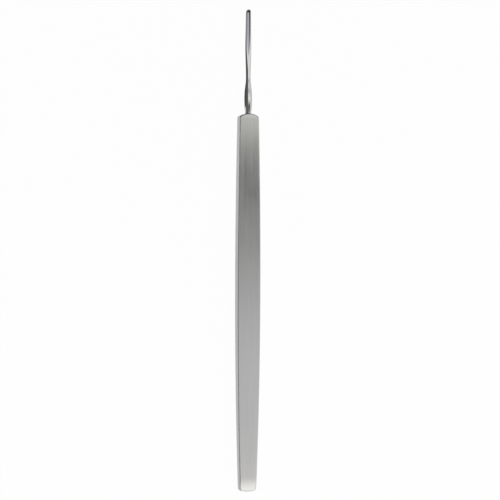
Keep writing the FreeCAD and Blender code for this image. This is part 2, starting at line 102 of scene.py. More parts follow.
def along(centre, radius, first, last, steps):
    """Points on an arc with the direction in which the arc faces there; first and last are points."""
    start = math.atan2(first[1] - centre[1], first[0] - centre[0])
    turn = math.atan2(last[1] - centre[1], last[0] - centre[0]) - start
    made = []
    for step in range(steps):
        angle = start + turn * step / steps
        facing = (math.cos(angle), math.sin(angle))
        made.append((centre[0] + radius * facing[0], centre[1] + radius * facing[1], *facing))
    return made


def corner_centre(guess, side_radius, end_radius, corner, end_centre, towards):
    """Centre of a corner arc that touches the long side's arc and the end's arc, closer each round."""
    y = guess
    for _ in range(SETTLING_ROUNDS):
        x = math.sqrt((side_radius - corner) ** 2 - (y + WIDEST_PLACE) ** 2) + half_width - side_radius
        y = end_centre + towards * math.sqrt((end_radius - corner) ** 2 - x ** 2)
    return x, y


def touch(centre, corner, radius):
    """Where a corner arc touches the larger arc that it sits inside."""
    reach = math.dist(centre, corner)
    return tuple(c + (k - c) * radius / reach for c, k in zip(centre, corner))


half_width = WIDEST_WIDTH / 2
upper = arc_radius(WIDEST_PLACE, HEAD_NARROWING / 2)
lower = arc_radius(HANDLE_LENGTH - WIDEST_PLACE, BUTT_NARROWING / 2)
head, butt = (0, -HEAD_ARC), (0, BUTT_ARC - HANDLE_LENGTH)
upper_side, lower_side = (half_width - upper, -WIDEST_PLACE), (half_width - lower, -WIDEST_PLACE)
head_bend = corner_centre(-1, upper, HEAD_ARC, HEAD_CORNER, head[1], 1)
butt_bend = corner_centre(1 - HANDLE_LENGTH, lower, BUTT_ARC, BUTT_CORNER, butt[1], -1)
head_in, head_out = touch(head, head_bend, HEAD_ARC), touch(upper_side, head_bend, upper)
butt_in, butt_out = touch(butt, butt_bend, BUTT_ARC), touch(lower_side, butt_bend, lower)
belly = (half_width, -WIDEST_PLACE)

right_half = along(head, HEAD_ARC, (0, 0), head_in, 24)
right_half += along(head_bend, HEAD_CORNER, head_in, head_out, 12)
right_half += along(upper_side, upper, head_out, belly, 60)
right_half += along(lower_side, lower, belly, butt_out, 80)
right_half += along(butt_bend, BUTT_CORNER, butt_out, butt_in, 16)
right_half += along(butt, BUTT_ARC, butt_in, (0, -HANDLE_LENGTH), 20)
right_half += [(0, -HANDLE_LENGTH, 0, -1)]
print(len(right_half), "outline points on one side of the handle")

# %% [markdown]
# In the side view the handle is thickest a little below the head, thins towards the butt, and rolls
# off over its last few millimetres. A profile like this is easy to write as a height for each place.
# The mesh is then a stack of loops. Each loop is the outline drawn in a little, and the loops near
# the back and the front follow a quarter circle, so that every edge is rounded. The front and back
# are closed with one row of faces between the right points and their mirror images.

# %% Build the handle's mesh
CROWN_PLACE, CROWN_THICKNESS = 17.0, 3.0
HEAD_THICKNESS, BUTT_THICKNESS = 2.9, 2.4
ROLL_LENGTH, ROLL_RADIUS = 3.5, 16.0
EDGE_ROUND = 0.3
EDGE_STEPS = 10
AXIS_HEIGHT = 1.45


def thickness(y):
    """How far the handle's front stands above its back at a place along it."""
    roll = ROLL_LENGTH - HANDLE_LENGTH
    if y > -CROWN_PLACE:
        return CROWN_THICKNESS - (CROWN_THICKNESS - HEAD_THICKNESS) * ((y + CROWN_PLACE) / CROWN_PLACE) ** 2
    reach = -CROWN_PLACE - roll
    drop = CROWN_THICKNESS - BUTT_THICKNESS
    height = CROWN_THICKNESS - drop * ((y + CROWN_PLACE) / reach) ** 2
    if y < roll:
        past = roll - y
        height = BUTT_THICKNESS - 2 * drop / reach * past - past ** 2 / (2 * ROLL_RADIUS)
    return height


def loops_of_handle():
    """Every loop of the handle from its back to its front, as lists of points."""
    loops = []
    for front in (False, True):
        for step in range(EDGE_STEPS + 1):
            angle = math.pi / 2 * (step / EDGE_STEPS - (0 if front else 1))
            inset = EDGE_ROUND * (1 - math.cos(angle))
            rise = EDGE_ROUND * math.sin(angle)
            half = []
            for x, y, fx, fy in right_half:
                px, py = x - fx * inset, y - fy * inset
                base = thickness(py) - EDGE_ROUND if front else EDGE_ROUND
                half.append((px, py, base + rise))
            left = [(-px, py, pz) for px, py, pz in half[-2:0:-1]]
            loops.append(half + left)
    return loops


def mesh_of_handle():
    """The closed handle in millimetres, with its back at height 0."""
    loops = loops_of_handle()
    count = len(loops[0])
    points = [point for loop in loops for point in loop]
    faces = []
    for level in range(len(loops) - 1):
        low, high = level * count, (level + 1) * count
        for i in range(count):
            j = (i + 1) % count
            faces.append((low + i, low + j, high + j, high + i))
    butt_index = len(right_half) - 1
    for base, front in ((0, False), ((len(loops) - 1) * count, True)):
        for i in range(butt_index):
            ring = [i, i + 1, (count - i - 1) % count, (count - i) % count]
            ring = [base + k for k in dict.fromkeys(ring)]
            faces.append(tuple(ring if front else ring[::-1]))
    mesh = bpy.data.meshes.new("handle")
    mesh.from_pydata(points, [], faces)
    mesh.validate()
    mesh.flip_normals()
    return mesh


handle_mesh = mesh_of_handle()
handle_mesh.transform(Matrix.Translation((0, 0, -AXIS_HEIGHT)))
print(len(handle_mesh.polygons), "faces on the handle")

# %% [markdown]
# The stem follows a rule, so Geometry Nodes make it. Its radius at each place comes from five arcs
# that meet without a kink: bulge, neck, two gentle ones up to the shaft, and the taper to the tip.
# Then it is cut as the real one is: a block grinds the front flat, a ball-ended cutter leaves the
# hollow, and a slanting cut from behind brings the end to an edge. Writing such sums with nodes by
# hand takes dozens of Math nodes, so a small helper lets them be written as plain formulas.

# %% A helper that turns formulas into Math nodes
class Wire:
    """One socket of a node tree; sums written with it add Math nodes to the tree."""

    def __init__(self, tree, socket):
        self.tree = tree
        self.socket = socket

    def math(self, operation, *others):
        node = self.tree.nodes.new("ShaderNodeMath")
        node.operation = operation
        for slot, value in zip(node.inputs, others):
            if isinstance(value, Wire):
                self.tree.links.new(value.socket, slot)
            else:
                slot.default_value = value
        return Wire(self.tree, node.outputs[0])

    def __add__(self, other):
        return self.math("ADD", self, other)

    def __radd__(self, other):
        return self.math("ADD", other, self)

    def __sub__(self, other):
        return self.math("SUBTRACT", self, other)

    def __rsub__(self, other):
        return self.math("SUBTRACT", other, self)

    def __mul__(self, other):
        return self.math("MULTIPLY", self, other)

    def __rmul__(self, other):
        return self.math("MULTIPLY", other, self)

    def __truediv__(self, other):
        return self.math("DIVIDE", self, other)

    def __pow__(self, power):
        return self.math("POWER", self, power)

    def above(self, limit, then, otherwise):
        """Then where this wire is over the limit, and otherwise elsewhere."""
        over = self.math("GREATER_THAN", self, limit)
        return otherwise + over * (then - otherwise)

    def at_least(self, floor):
        return self.math("MAXIMUM", self, floor)

    def at_most(self, ceiling):
        return self.math("MINIMUM", self, ceiling)

    def root(self):
        """The square root, and 0 where this wire is below 0."""
        return self.math("SQRT", self.at_least(0))


print("formulas can be written as nodes")

# %% [markdown]
# A group's inputs appear in the modifier panel under their names, so the sizes can be changed there.
# The script lists them once. The modifier itself stores each value under the socket's identifier,
# and a small function looks that up.

# %% The sizes of the stem
STEM_SIZES = {
    "Stem length": 27.0,
    "Root": 0.7,
    "Foot round": 0.35,
    "Head arc": HEAD_ARC,
    "Bulge place": 3.5,
    "Bulge radius": 1.0,
    "Bulge sweep": 26.0,
    "Neck place": 9.5,
    "Neck radius": 0.55,
    "Shaft place": 18.3,
    "Shaft radius": 0.71,
    "Tip radius": 0.64,
    "Flat height": 0.385,
    "Flat rise": 0.01,
    "Cutter radius": 0.55,
    "Channel depth": 0.27,
    "Channel length": 11.8,
    "Ball inset": 0.64,
    "Nose radius": 0.72,
    "Bevel slope": 1.0,
    "Heel round": 0.4,
    "Oval share": 0.14,
    "Oval place": 13.5,
    "Oval reach": 12.0,
}


def number_inputs(tree, sizes):
    """A named number input on the tree for each size, with the size as its default."""
    for title, value in sizes.items():
        socket = tree.interface.new_socket(name=title, in_out="INPUT", socket_type="NodeSocketFloat")
        socket.default_value = value


def new_tree(name, sizes):
    """An empty Geometry Nodes tree with its inputs and output, and the inputs' wires by name."""
    tree = bpy.data.node_groups.new(name, "GeometryNodeTree")
    number_inputs(tree, sizes)
    for title in ("Steel", "Hollow steel"):
        tree.interface.new_socket(name=title, in_out="INPUT", socket_type="NodeSocketMaterial")
    tree.interface.new_socket(name="Mesh", in_out="OUTPUT", socket_type="NodeSocketGeometry")
    start = tree.nodes.new("NodeGroupInput")
    return tree, {socket.name: Wire(tree, socket) for socket in start.outputs if socket.name}


stem_tree, wires = new_tree("turned and ground stem", STEM_SIZES)
print(len(STEM_SIZES), "named sizes for the stem")

# %% [markdown]
# The rod starts as a plain closed cylinder of radius 1. Set Position then moves every point: first
# along the axis, packed closer near the foot, where the stem flares onto the head, and then out or in
# to the radius of the rule. At the foot the flare follows the head's own curve, so each point there
# also shifts back by as much as the head falls away from its top. Between the neck and the shaft the
# rod is a little wider than deep.

# %% Turn the rod
ROD_FACETS, ROD_ROWS = 96, 360
ROD_OVERRUN = 1
ROW_SPREAD = 1.5
FOOT_REACH = 1.5


def node(tree, kind, **settings):
    """A new node with its settings, such as operation or solver."""
    made = tree.nodes.new(kind)
    for key, value in settings.items():
        setattr(made, key, value)
    return made


def split(tree, vector):
    """The x, y and z of a vector socket as wires."""
    parts = node(tree, "ShaderNodeSeparateXYZ")
    tree.links.new(vector, parts.inputs[0])
    return [Wire(tree, out) for out in parts.outputs]


def joined(tree, *parts):
    """A vector socket made of three wires or numbers."""
    vector = node(tree, "ShaderNodeCombineXYZ")
    for slot, part in zip(vector.inputs, parts):
        if isinstance(part, Wire):
            tree.links.new(part.socket, slot)
        else:
            slot.default_value = part
    return vector.outputs[0]


def placed(tree, geometry, position):
    """The geometry with every point at the position that the vector socket gives."""
    mover = node(tree, "GeometryNodeSetPosition")
    tree.links.new(geometry, mover.inputs["Geometry"])
    tree.links.new(position, mover.inputs["Position"])
    return mover.outputs["Geometry"]


def closed_cylinder(tree, facets, rows):
    """A closed cylinder of radius 1 and depth 1 about the Z axis, and the wires of its points' places."""
    cylinder = node(tree, "GeometryNodeMeshCylinder", fill_type="NGON")
    cylinder.inputs["Vertices"].default_value = facets
    cylinder.inputs["Side Segments"].default_value = rows
    cylinder.inputs["Radius"].default_value = 1
    cylinder.inputs["Depth"].default_value = 1
    position = node(tree, "GeometryNodeInputPosition")
    return cylinder.outputs["Mesh"], split(tree, position.outputs[0])


def rod_radius(y, size):
    """The radius of the rod at y, from five arcs that meet without a kink."""
    bulge, neck, shaft = size["Bulge place"], size["Neck place"], size["Shaft place"]
    fall = size["Bulge radius"] - size["Neck radius"]
    reach = (neck - bulge) ** 2 / (2 * fall)
    turn = bulge + (neck - bulge) * size["Bulge sweep"] / reach
    middle = (neck + shaft) / 2
    gentle = (shaft - neck) ** 2 / (4 * (size["Shaft radius"] - size["Neck radius"]))
    taper = (size["Stem length"] - shaft) ** 2 / (2 * (size["Shaft radius"] - size["Tip radius"]))
    hollowing = reach - size["Bulge sweep"]
    radius = size["Bulge radius"] - (y - bulge) ** 2 / (2 * size["Bulge sweep"])
    radius = y.above(turn, size["Neck radius"] + (y - neck) ** 2 / (2 * hollowing), radius)
    radius = y.above(neck, size["Neck radius"] + (y - neck) ** 2 / (2 * gentle), radius)
    radius = y.above(middle, size["Shaft radius"] - (y - shaft) ** 2 / (2 * gentle), radius)
    return y.above(shaft, size["Shaft radius"] - (y - shaft) ** 2 / (2 * taper), radius)


def oval(y, size):
    """How much wider than deep the rod is at y: most of all between the neck and the shaft."""
    off = ((y - size["Oval place"]) / size["Oval reach"]) ** 2
    return 1 + size["Oval share"] * (1 - off).at_least(0) ** 2


def turned_rod(tree, size):
    """The rod with its flared foot, along +Y."""
    mesh, (px, py, pz) = closed_cylinder(tree, ROD_FACETS, ROD_ROWS)
    start = -1 * size["Root"]
    y = start + (size["Stem length"] + ROD_OVERRUN - start) * (pz + 0.5) ** ROW_SPREAD
    foot = size["Foot round"]
    left_of_foot = (foot - y).at_most(foot).at_least(0)
    flare = foot - (foot ** 2 - left_of_foot ** 2).root()
    radius = rod_radius(y, size) + flare
    fade = (FOOT_REACH - y).at_most(1).at_least(0)
    fall = (px * radius) ** 2 / (2 * size["Head arc"]) * fade
    return placed(tree, mesh, joined(tree, px * radius * oval(y, size), y - fall, -1 * (py * radius)))


rod = turned_rod(stem_tree, wires)
print(len(stem_tree.nodes), "nodes turn the rod")

# %% [markdown]
# The three cuts are Mesh Boolean nodes with the exact solver. The grinding block is a cube that
# leans with the flat. The cutter is a cylinder whose front rows are drawn in to half a ball. For the
# bevel it is easier to say what stays than what goes: a slab whose outline in the front view is the
# sharp edge's arc, and which slides back as it goes deeper. Where it nears the stem's back it turns
# through a small radius, which rounds the bevel's heel. Each tool brings its steel to the faces that it
# leaves, so the hollow can have a finish of its own.

# %% Cut the flat, the hollow and the bevel
BLOCK_HALF_WIDTH, BLOCK_HEIGHT, BLOCK_OVERRUN = 3, 2, 3
CUTTER_FACETS, CUTTER_ROWS, CUTTER_OVERRUN = 72, 40, 1
SLAB_FACETS, SLAB_ROWS = 128, 40
SLAB_ABOVE, SLAB_BELOW = 0.4, 0.004
SLAB_LENGTH, SLAB_SPREAD = 34, 2
SLAB_MIDDLE = -0.001


def flat_line(size):
    """Slope of the ground flat, and its height above the axis level with the tip."""
    heel = size["Neck radius"] + size["Flat rise"]
    return (size["Flat height"] - heel) / (size["Stem length"] - size["Neck place"]), size["Flat height"]


def grinding_block(tree, size):
    """A block over the front of the stem, whose underside is the ground flat."""
    slope, level = flat_line(size)
    mesh, (px, py, pz) = closed_cylinder(tree, 4, 1)
    run = size["Stem length"] - size["Neck place"]
    ahead = (py - px).math("GREATER_THAN", py - px, 0)
    y = size["Neck place"] + ahead * (run + BLOCK_OVERRUN)
    x = BLOCK_HALF_WIDTH * (px + py).math("SIGN", px + py)
    base = level + slope * (y - size["Stem length"])
    top = pz.math("GREATER_THAN", pz, 0)
    return mesh, joined(tree, x, y, base + BLOCK_HEIGHT * top)


def cutter(tree, size):
    """The ball-ended cutter, sunk into the flat and tilted so that its hollow runs out."""
    slope, level = flat_line(size)
    radius = size["Cutter radius"]
    mesh, (px, py, pz) = closed_cylinder(tree, CUTTER_FACETS, CUTTER_ROWS)
    step = 2 * (0.5 - pz)
    quarter = step.at_most(1) * (math.pi / 2)
    ring = radius * quarter.math("SINE", quarter)
    lead = radius * quarter.math("COSINE", quarter)
    shank = (step - 1).at_least(0)
    ball_y = size["Stem length"] - size["Ball inset"]
    out_y = size["Stem length"] - size["Channel length"]
    ball_z = level - slope * size["Ball inset"] + radius - size["Channel depth"]
    out_z = level - slope * size["Channel length"] + radius
    tilt = (ball_z - out_z) / (ball_y - out_y)
    reach = lead - shank * (ball_y - out_y + CUTTER_OVERRUN)
    across = -1 * (py * ring)
    return mesh, joined(tree, px * ring, ball_y + reach - tilt * across, ball_z + tilt * reach + across)


def edge_slab(tree, size):
    """What the bevel leaves: a slab with the edge's arc, which slides back as it goes deeper."""
    mesh, (px, py, pz) = closed_cylinder(tree, SLAB_FACETS, SLAB_ROWS)
    nose = size["Nose radius"]
    level = size["Flat height"]
    slope = size["Bevel slope"]
    back = size["Tip radius"] + SLAB_BELOW
    turn = slope.math("ARCTANGENT", slope)
    heel = size["Heel round"]
    centre_z = heel - back
    start_z = centre_z - heel * turn.math("COSINE", turn)
    z = level + SLAB_ABOVE - (0.5 - pz) * (level + SLAB_ABOVE + back)
    straight = (level - z) / slope
    at_start = (level - start_z) / slope
    drop = (centre_z - z).at_most(heel)
    rounded = at_start + heel * turn.math("SINE", turn) - (heel ** 2 - drop ** 2).root()
    slide = z.above(start_z, straight, rounded)
    behind = (SLAB_MIDDLE - py).math("GREATER_THAN", SLAB_MIDDLE - py, 0)
    spread = 1 + SLAB_SPREAD * behind
    y = size["Stem length"] - nose + py * nose - SLAB_LENGTH * behind - slide
    return mesh, joined(tree, px * nose * spread, y, z * spread)


def coated(tree, geometry, steel_wire):
    """The geometry with the material that comes in through one of the tree's inputs."""
    coat = node(tree, "GeometryNodeSetMaterial")
    tree.links.new(geometry, coat.inputs["Geometry"])
    tree.links.new(steel_wire.socket, coat.inputs["Material"])
    return coat.outputs["Geometry"]


def cut(tree, shape, tool, position, steel_wire, operation="DIFFERENCE"):
    """The shape after one cut with a tool, which leaves the cut faces in the given steel."""
    boolean = node(tree, "GeometryNodeMeshBoolean", operation=operation, solver="EXACT")
    tool = coated(tree, placed(tree, tool, position), steel_wire)
    shape_slot = "Mesh 1" if operation == "DIFFERENCE" else "Mesh 2"
    tree.links.new(shape, boolean.inputs[shape_slot])
    tree.links.new(tool, boolean.inputs["Mesh 2"])
    return boolean.outputs["Mesh"]


rod = coated(stem_tree, rod, wires["Steel"])
ground = cut(stem_tree, rod, *grinding_block(stem_tree, wires), wires["Steel"])
hollowed = cut(stem_tree, ground, *cutter(stem_tree, wires), wires["Hollow steel"])
bevelled = cut(stem_tree, hollowed, *edge_slab(stem_tree, wires), wires["Steel"], "INTERSECT")
print(len(stem_tree.nodes), "nodes shape the stem")

# %% [markdown]
# The steel is one metal with three finishes. A material that is all over the same looks like paint, so
# the finishes share one node group for the grain that grinding and polishing leave along the bar. It
# stretches a noise far along Y and puts out a tone, a height and a broad drift. Each material places
# the group with its own values: strong and coarse on the satin handle, faint on the stem.

# %% The shared grain group
GRAIN_SIZES = {"Streaks per metre": 9000.0, "Streak stretch": 0.02, "Contrast": 1.0}
BAND_SCALE, BAND_STRETCH, DRIFT_SCALE = 0.22, 1.5, 0.02
HAIR_SHARE, BAND_HEIGHT = 0.9, 0.5


def grain_group():
    """Streaks along Y as a node group, with its inputs and outputs named."""
    group = bpy.data.node_groups.new("lengthwise grain", "ShaderNodeTree")
    number_inputs(group, GRAIN_SIZES)
    for title in ("Tone", "Height", "Drift"):
        group.interface.new_socket(name=title, in_out="OUTPUT", socket_type="NodeSocketFloat")
    start, end = group.nodes.new("NodeGroupInput"), group.nodes.new("NodeGroupOutput")
    place = group.nodes.new("ShaderNodeTexCoord")
    x, y, z = split(group, place.outputs["Object"])
    fine = Wire(group, start.outputs["Streaks per metre"])
    stretch = Wire(group, start.outputs["Streak stretch"])
    contrast = Wire(group, start.outputs["Contrast"])

    def noise(scale, stretched, detail):
        """A noise whose pattern is drawn out along Y, centred on 0."""
        texture = node(group, "ShaderNodeTexNoise")
        group.links.new(joined(group, x * scale, y * scale * stretched, z * scale), texture.inputs["Vector"])
        texture.inputs["Scale"].default_value = 1
        texture.inputs["Detail"].default_value = detail
        return Wire(group, texture.outputs["Fac"]) - 0.5

    hair = noise(fine, stretch, 2)
    band = noise(fine * BAND_SCALE, stretch * BAND_STRETCH, 3)
    drift = noise(fine * DRIFT_SCALE, 1.0, 2)
    outputs = {"Tone": 0.5 + contrast * (hair * HAIR_SHARE + band), "Height": hair + band * BAND_HEIGHT,
               "Drift": 0.5 + contrast * drift}
    for title, value in outputs.items():
        group.links.new(value.socket, end.inputs[title])
    return group


grain = grain_group()
print("grain group:", [item.name for item in grain.interface.items_tree])

# %% [markdown]
# Bare steel is a metal all the way, so Metallic is 1 and the colour is the tint of its reflections.
# The satin handle is rougher, which blurs what it mirrors into soft grades, and its fine scratches
# show as streaks in both tone and height. The polished stem is nearly a mirror with faint streaks.
# The milled hollow is darker and a little violet. Its colour is painted almost black in the pit at
# its end, as painted shade for the deep ball end. A Bump node turns the height into slopes, with its
# distance in metres, so it is very small here.

# %% The three finishes
STEEL = (0.62, 0.62, 0.61)
MILLED = (0.46, 0.45, 0.50)
PAINTED_PIT_SHADE = (0.06155, 0.06195, 0.06)
# Painted shade in the hollow's ball end: where along Y it starts and ends, in metres, and the share of colour
# left
FINISHES = {
    "satin_steel": dict(colour=STEEL, brushed=0.7, roughness=0.32, spread=0.12, tone_spread=0.16,
                        bump=1e-6, streaks=7000, stretch=0.015),
    "polished_steel": dict(colour=STEEL, brushed=0, roughness=0.07, spread=0.03, tone_spread=0.06,
                           bump=2e-7, streaks=9000, stretch=0.03),
    "milled_steel": dict(colour=MILLED, brushed=0, roughness=0.18, spread=0.06, tone_spread=0.12,
                         bump=4e-7, streaks=9000, stretch=0.03, painted_pit_shade=PAINTED_PIT_SHADE),
}


def clear_of(tree, start, end, least):
    """1 up to start, least from end on, and even between, along the object's own Y."""
    place = node(tree, "ShaderNodeTexCoord")
    _, y, _ = split(tree, place.outputs["Object"])
    share = ((y - start) / (end - start)).at_least(0).at_most(1)
    return 1 - (1 - least) * share


def steel(name, colour, brushed, roughness, spread, tone_spread, bump, streaks, stretch, painted_pit_shade=None):
    """Bare steel with lengthwise grain; spread and tone_spread say how much the grain changes it.

    Painted pit shade, when given, says where along the bar the colour darkens as painted shade in the
    hollow's deep end, and how much of the colour is left there.
    """
    material = bpy.data.materials.new(name)
    material.use_nodes = True
    tree = material.node_tree
    shader = tree.nodes["Principled BSDF"]
    streak = node(tree, "ShaderNodeGroup", node_tree=grain)
    streak.inputs["Streaks per metre"].default_value = streaks
    streak.inputs["Streak stretch"].default_value = stretch
    tone = Wire(tree, streak.outputs["Tone"])
    drift = Wire(tree, streak.outputs["Drift"])
    shade = 1 + (tone - 0.5) * tone_spread + (drift - 0.5) * (tone_spread * 0.5)
    # Painted shade: the colour falls towards the hollow's ball end, where the deep pit lies in shadow
    if painted_pit_shade:
        shade = shade * clear_of(tree, *painted_pit_shade)
    tinted = joined(tree, *(shade * part for part in colour))
    rough = roughness + (tone - 0.5) * spread + (drift - 0.5) * spread
    slopes = node(tree, "ShaderNodeBump")
    slopes.inputs["Strength"].default_value = 1
    slopes.inputs["Distance"].default_value = bump
    tree.links.new(streak.outputs["Height"], slopes.inputs["Height"])
    tree.links.new(tinted, shader.inputs["Base Color"])
    tree.links.new(rough.socket, shader.inputs["Roughness"])
    tree.links.new(slopes.outputs[0], shader.inputs["Normal"])
    shader.inputs["Metallic"].default_value = 1
    across = node(tree, "ShaderNodeTangent", direction_type="RADIAL", axis="Y")
    tree.links.new(across.outputs[0], shader.inputs["Tangent"])
    shader.inputs["Anisotropic"].default_value = brushed
    return material


satin, polished, milled = (steel(name, **values) for name, values in FINISHES.items())
print("materials:", satin.name, polished.name, milled.name)

# %% [markdown]
# The stem's tree ends in Realize Instances and Set Material, because only real faces with a real
# material reach the exported model. The modifier is read once, its result becomes a plain mesh, and
# the modifier goes.

# %% Finish the stem's tree and make its mesh
def finish_tree(tree, geometry, hollow_wire):
    """Ends a tree in Realize Instances and Set Material, which names the hollow's faces once more."""
    real = node(tree, "GeometryNodeRealizeInstances")
    coat = node(tree, "GeometryNodeSetMaterial")
    is_hollow = node(tree, "GeometryNodeMaterialSelection")
    end = node(tree, "NodeGroupOutput")
    tree.links.new(geometry, real.inputs["Geometry"])
    tree.links.new(real.outputs["Geometry"], coat.inputs["Geometry"])
    for slot in (is_hollow.inputs["Material"], coat.inputs["Material"]):
        tree.links.new(hollow_wire.socket, slot)
    tree.links.new(is_hollow.outputs["Selection"], coat.inputs["Selection"])
    tree.links.new(coat.outputs["Geometry"], end.inputs["Mesh"])


def mesh_from_tree(tree, values):
    """A plain mesh of what the tree makes with these values for its named inputs."""
    carrier = bpy.data.objects.new(tree.name, bpy.data.meshes.new("empty"))
    scene.collection.objects.link(carrier)
    modifier = carrier.modifiers.new(tree.name, "NODES")
    modifier.node_group = tree
    for item in tree.interface.items_tree:
        if item.in_out == "INPUT" and item.name in values:
            modifier[item.identifier] = values[item.name]
    made = evaluated_mesh(carrier)
    bpy.data.objects.remove(carrier)
    return made


def evaluated_mesh(thing):
    """The object's mesh with its modifiers' effect in it."""
    graph = bpy.context.evaluated_depsgraph_get()
    return bpy.data.meshes.new_from_object(thing.evaluated_get(graph), depsgraph=graph)


finish_tree(stem_tree, bevelled, wires["Hollow steel"])
stem_mesh = mesh_from_tree(stem_tree, {**STEM_SIZES, "Steel": polished, "Hollow steel": milled})
print(len(stem_mesh.polygons), "faces on the stem")

# %% [markdown]
# The real bar is one piece of steel, so the two meshes become one closed mesh. The stem's root runs
# a little way into the head, and a Boolean modifier joins them and removes what lies inside. Edges
# under 24 degrees are then shaded smooth, and the ground edges stay crisp.

# %% Join stem and handle into one piece
def joined_bar(handle, stem):
    """One closed mesh of the handle and the stem, in millimetres."""
    handle.materials.append(satin)
    first = bpy.data.objects.new("handle", handle)
    second = bpy.data.objects.new("stem", stem)
    for thing in (first, second):
        scene.collection.objects.link(thing)
    union = first.modifiers.new("union", "BOOLEAN")
    union.operation = "UNION"
    union.solver = "EXACT"
    union.material_mode = "TRANSFER"
    union.object = second
    made = evaluated_mesh(first)
    for thing in (first, second):
        bpy.data.objects.remove(thing)
    return made


SMOOTH_BELOW = math.radians(24)
origin_shift = Vector((0, (HANDLE_LENGTH - STEM_SIZES["Stem length"]) / 2, AXIS_HEIGHT))
bar_mesh = joined_bar(handle_mesh, stem_mesh)
bar_mesh.transform(Matrix.Diagonal((MM, MM, MM, 1)) @ Matrix.Translation(origin_shift))
bar_mesh.shade_smooth()
bar_mesh.set_sharp_from_angle(angle=SMOOTH_BELOW)
bar_mesh.name = "gouge_bar"
bar = bpy.data.objects.new("gouge_bar", bar_mesh)
scene.collection.objects.link(bar)
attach(bar, "root")
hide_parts("gouge")
print(len(bar_mesh.polygons), "faces on the bar,", [m.name for m in bar_mesh.materials])

# %% [markdown]
# The bar lies on a plain white floor. A floor that only scatters light would render grey where the
# light is soft, so most of what the camera and the steel see of it is a plain white of strength 1,
# and the rest is a real matt surface that still takes the bar's shadow. Light Path tells the two
# uses apart, which is why it stays in the material and not in a group.

# %% Lay the floor
FLOOR_END = 1.5
FLOOR_COLOUR = (0.95, 0.95, 0.95, 1)
PLAIN_WHITE = (1, 1, 1, 1)
WHITE_IN_CAMERA, WHITE_IN_STEEL = 0.975, 0.7


def seen(tree):
    """How much of the plain white the camera, mirrored or passing rays see; none for scattered light."""
    path = node(tree, "ShaderNodeLightPath")
    mirrored = Wire(tree, path.outputs["Is Glossy Ray"])
    mirrored = mirrored.at_least(Wire(tree, path.outputs["Is Transmission Ray"]))
    in_camera = WHITE_IN_CAMERA * Wire(tree, path.outputs["Is Camera Ray"])
    return (mirrored * WHITE_IN_STEEL).at_least(in_camera)


def floor_material():
    """Matt white with a plain white glow for the rays that see it."""
    material = bpy.data.materials.new("white_floor")
    material.use_nodes = True
    tree = material.node_tree
    tree.nodes.remove(tree.nodes["Principled BSDF"])
    matt, glow, blend = (node(tree, f"ShaderNode{kind}") for kind in ("BsdfDiffuse", "Emission", "MixShader"))
    matt.inputs["Color"].default_value = FLOOR_COLOUR
    glow.inputs["Color"].default_value = PLAIN_WHITE
    tree.links.new(seen(tree).socket, blend.inputs[0])
    tree.links.new(matt.outputs[0], blend.inputs[1])
    tree.links.new(glow.outputs[0], blend.inputs[2])
    tree.links.new(blend.outputs[0], tree.nodes["Material Output"].inputs["Surface"])
    return material


def sheet(name, corners, height, material):
    """A level sheet of one face, from the x and y of its corners."""
    mesh = bpy.data.meshes.new(name)
    mesh.from_pydata([(x, y, height) for x, y in corners], [], [(0, 1, 2, 3)])
    mesh.materials.append(material)
    made = bpy.data.objects.new(name, mesh)
    scene.collection.objects.link(made)
    return made


floor_corners = ((-FLOOR_END, -FLOOR_END), (FLOOR_END, -FLOOR_END),
                 (FLOOR_END, FLOOR_END), (-FLOOR_END, FLOOR_END))
floor = sheet("floor", floor_corners, 0, floor_material())
print("floor", 2 * FLOOR_END, "m wide")

# %% [markdown]
# Polished steel shows nothing but its surroundings, so the light is drawn as surroundings. The sky
# is soft. It is darker to the left than to the right, which puts the dark band on the left of the
# round stem. Low down it is darker beyond the tip, which draws the dark arc round the handle's head,
# and a little brighter beyond the butt. Camera rays see plain white.

# %% Light the scene
SKY_LEVELS = ((-90, 0.22), (-70, 0.10), (-30, 0.12), (-6, 0.7), (20, 1.1), (60, 0.92), (90, 0.5))
HALF_TURN = 180
LOW_START, LOW_SPAN = 0.60, 0.25
LOW_GAINS = {1: -0.85, -1: 0.35}


def fill_ramp(ramp, stops):
    """Gives a colour ramp its stops, as places from 0 to 1 with a colour each."""
    elements = ramp.color_ramp.elements
    while len(elements) < len(stops):
        elements.new(0.5)
    for element, (position, colour) in zip(elements, stops):
        element.position = position
        element.color = (*colour, 1)


def sky():
    """A soft sky that is darker to the left, and white where the camera looks past the floor."""
    world = bpy.data.worlds.new("soft_sky")
    world.use_nodes = True
    tree = world.node_tree
    place = node(tree, "ShaderNodeTexCoord")
    x, y, z = split(tree, place.outputs["Generated"])
    lean = x.math("ARCTAN2", x, z) / math.pi + 0.5
    strength = 1
    for towards, gain in LOW_GAINS.items():
        low = (towards * y - LOW_START) / LOW_SPAN
        strength = strength + gain * low.at_least(0).at_most(1)
    ramp = node(tree, "ShaderNodeValToRGB")
    fill_ramp(ramp, [(angle / HALF_TURN + 0.5, (level,) * 3) for angle, level in SKY_LEVELS])
    tree.links.new(lean.socket, ramp.inputs[0])
    behind = tree.nodes["Background"]
    front = node(tree, "ShaderNodeBackground")
    front.inputs["Color"].default_value = PLAIN_WHITE
    tree.links.new(ramp.outputs[0], behind.inputs["Color"])
    tree.links.new(strength.socket, behind.inputs["Strength"])
    blend = node(tree, "ShaderNodeMixShader")
    path = node(tree, "ShaderNodeLightPath")
    tree.links.new(path.outputs["Is Camera Ray"], blend.inputs[0])
    tree.links.new(behind.outputs[0], blend.inputs[1])
    tree.links.new(front.outputs[0], blend.inputs[2])
    tree.links.new(blend.outputs[0], tree.nodes["World Output"].inputs["Surface"])
    return world


scene.world = sky()
print("world:", scene.world.name)
